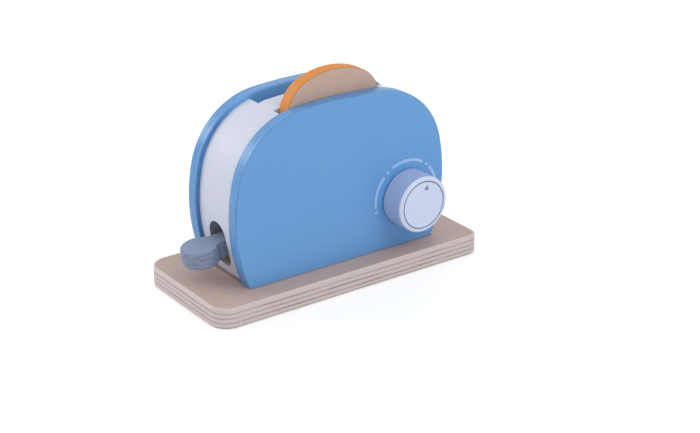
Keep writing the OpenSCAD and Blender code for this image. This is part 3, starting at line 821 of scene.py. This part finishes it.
# The pointer is a small printed triangle, a film of paint on the knob's face.
def makePointer():
    bm = bmesh.new()
    half = pointerShape["half"]
    last = lineTo(bm, None, -half, pointerShape["low"])
    last = lineTo(bm, last, half, pointerShape["low"])
    lineTo(bm, last, 0, pointerShape["high"])
    thicken(bm, pointerShape["film"])
    bmesh.ops.rotate(bm, cent=(0, 0, 0), verts=bm.verts,
                     matrix=Matrix.Rotation(math.radians(-pointerShape["turn"]), 3, "Z"))
    onDial(bm, pointerShape["film"] - pointerShape["face"])
    finishPiece(bm, "knobPointer", "dial", [pointerPaint])


# The printed marks round the dial: angles are in degrees, clockwise from straight up.
markShape = {"radius": 26.2, "half": 1, "endSteps": 10, "arcSteps": 32, "dot": 1.15,
             "dotSegments": 32, "film": 0.15, "dots": (-104, -37, 41, 109),
             "arcs": ((-94.5, -48), (-26, 30.5), (49.5, 98))}


# A stroke with round ends, drawn from straight up and then turned to where it starts
def addStroke(bm, start, end):
    radius, half = markShape["radius"], markShape["half"]
    endSteps, arcSteps = markShape["endSteps"], markShape["arcSteps"]
    turn = math.radians(start - end)
    stroke = bmesh.new()
    last = lineTo(stroke, None, 0, radius - half)
    last = arcOn(stroke, last, (0, radius), -180, endSteps)
    last = arcOn(stroke, last, (0, 0), start - end, arcSteps)
    last = arcOn(stroke, last, (-radius * math.sin(turn), radius * math.cos(turn)), -180, endSteps)
    arcOn(stroke, last, (0, 0), end - start, arcSteps)
    thicken(stroke, markShape["film"])
    bmesh.ops.rotate(stroke, cent=(0, 0, 0), verts=stroke.verts,
                     matrix=Matrix.Rotation(math.radians(-start), 3, "Z"))
    part = meshFrom(stroke, "stroke")
    bm.from_mesh(part)
    bpy.data.meshes.remove(part)


def makeMarks():
    bm = bmesh.new()
    for start, end in markShape["arcs"]:
        addStroke(bm, start, end)
    for degrees in markShape["dots"]:
        angle = math.radians(degrees)
        addRound(bm, (markShape["radius"] * math.sin(angle), markShape["radius"] * math.cos(angle),
                      markShape["film"] / 2), (markShape["dot"],) * 2, markShape["film"],
                 segments=markShape["dotSegments"])
    onDial(bm, -panelShape["face"])
    finishPiece(bm, "dialMarks", "housing", [markPaint])


makeKnob()
makePointer()
makeMarks()
print("dial made")


# The camera at the photo's angle: its place in mm, its angles in degrees
photoView = {"place": (-616.3, -892.1, 510.5), "azimuth": 35.854, "drop": 23.539, "roll": 0.06,
             "lens": 88.19, "shift": (0.0017, -0.0006)}


def makeCamera():
    data = bpy.data.cameras.new("photoCamera")
    data.lens = photoView["lens"]
    data.shift_x, data.shift_y = photoView["shift"]
    camera = bpy.data.objects.new("photoCamera", data)
    scene.collection.objects.link(camera)
    azimuth, drop = math.radians(photoView["azimuth"]), math.radians(photoView["drop"])
    aim = Vector((math.sin(azimuth) * math.cos(drop), math.cos(azimuth) * math.cos(drop),
                  -math.sin(drop)))
    camera.rotation_mode = "QUATERNION"
    camera.rotation_quaternion = aim.to_track_quat("-Z", "Y") @ Quaternion(
        (0, 0, 1), math.radians(photoView["roll"]))
    camera.location = [v * mm for v in photoView["place"]]
    scene.camera = camera


# The lamps' places and sizes are in metres and their power in watts; all point at one spot.
lamps = {"leftWindow": {"place": (-0.85, 1, 0.7), "size": 0.5, "power": 5},
         "frontSoft": {"place": (0.35, -1.35, 1.3), "size": 1, "power": 6.5}}
lampAim = (0, 0, 0.06)


def makeLight(name, lamp):
    data = bpy.data.lights.new(name, "AREA")
    data.size = lamp["size"]
    data.energy = lamp["power"]
    light = bpy.data.objects.new(name, data)
    light.location = lamp["place"]
    aim = Vector(lampAim) - Vector(lamp["place"])
    light.rotation_mode = "QUATERNION"
    light.rotation_quaternion = aim.to_track_quat("-Z", "Y")
    scene.collection.objects.link(light)


lightLevels = {"sky": 0.72, "floorGlow": 0.35}  # strengths


# The sky lights softly; what the camera, gloss and glass see of it is plain white.
def makeSky():
    world = bpy.data.worlds.new("softRoom")
    world.use_nodes = True
    scene.world = world
    tree = world.node_tree
    tree.nodes.clear()
    path = addNode(tree, "LightPath")
    seen = addNode(tree, "Math", {0: path.outputs["Is Camera Ray"],
                                  1: path.outputs["Is Glossy Ray"]}, operation="MAXIMUM")
    seen = addNode(tree, "Math", {0: seen.outputs[0], 1: path.outputs["Is Transmission Ray"]},
                   operation="MAXIMUM")
    lit = addNode(tree, "Background", {"Color": white, "Strength": lightLevels["sky"]})
    plain = addNode(tree, "Background", {"Color": white, "Strength": 1})
    both = addNode(tree, "MixShader", {0: seen.outputs[0], 1: lit.outputs[0],
                                       2: plain.outputs[0]})
    addNode(tree, "OutputWorld", {"Surface": both.outputs[0]})


# The floor's size and level are in metres, its pattern in mm.
floorLook = {"size": 4, "level": -0.0002, "roughness": 0.8, "specular": 0.1,
             "pattern": (3, 3, 3), "light": "#f0f0f1", "dark": "#ececed"}


# Matt white table: it keeps the object's shadow, and a little light of its own for the camera
# alone lifts the rest to plain white.
def makeFloor():
    bm = bmesh.new()
    bmesh.ops.create_grid(bm, x_segments=1, y_segments=1, size=floorLook["size"])
    floor = bpy.data.objects.new("floor", meshFrom(bm, "floor"))
    floor.location.z = floorLook["level"]
    scene.collection.objects.link(floor)
    material, tree, shader, coords = startMaterial(
        "mattWhiteTable", Roughness=floorLook["roughness"],
        Specular_IOR_Level=floorLook["specular"], Emission_Color=white)
    colour = addNode(tree, "Mix", {0: mottle(tree, coords["Object"], floorLook["pattern"]),
                                   6: linearColour(floorLook["light"]),
                                   7: linearColour(floorLook["dark"])}, data_type="RGBA")
    tree.links.new(colour.outputs[2], shader.inputs["Base Color"])
    path = addNode(tree, "LightPath")
    glow = addNode(tree, "Math", {0: path.outputs["Is Camera Ray"], 1: lightLevels["floorGlow"]},
                   operation="MULTIPLY")
    tree.links.new(glow.outputs[0], shader.inputs["Emission Strength"])
    floor.data.materials.append(material)


makeCamera()
for lampName, lamp in lamps.items():
    makeLight(lampName, lamp)
makeSky()
makeFloor()
scene.view_settings.view_transform = "Standard"
print("camera, light and floor ready")
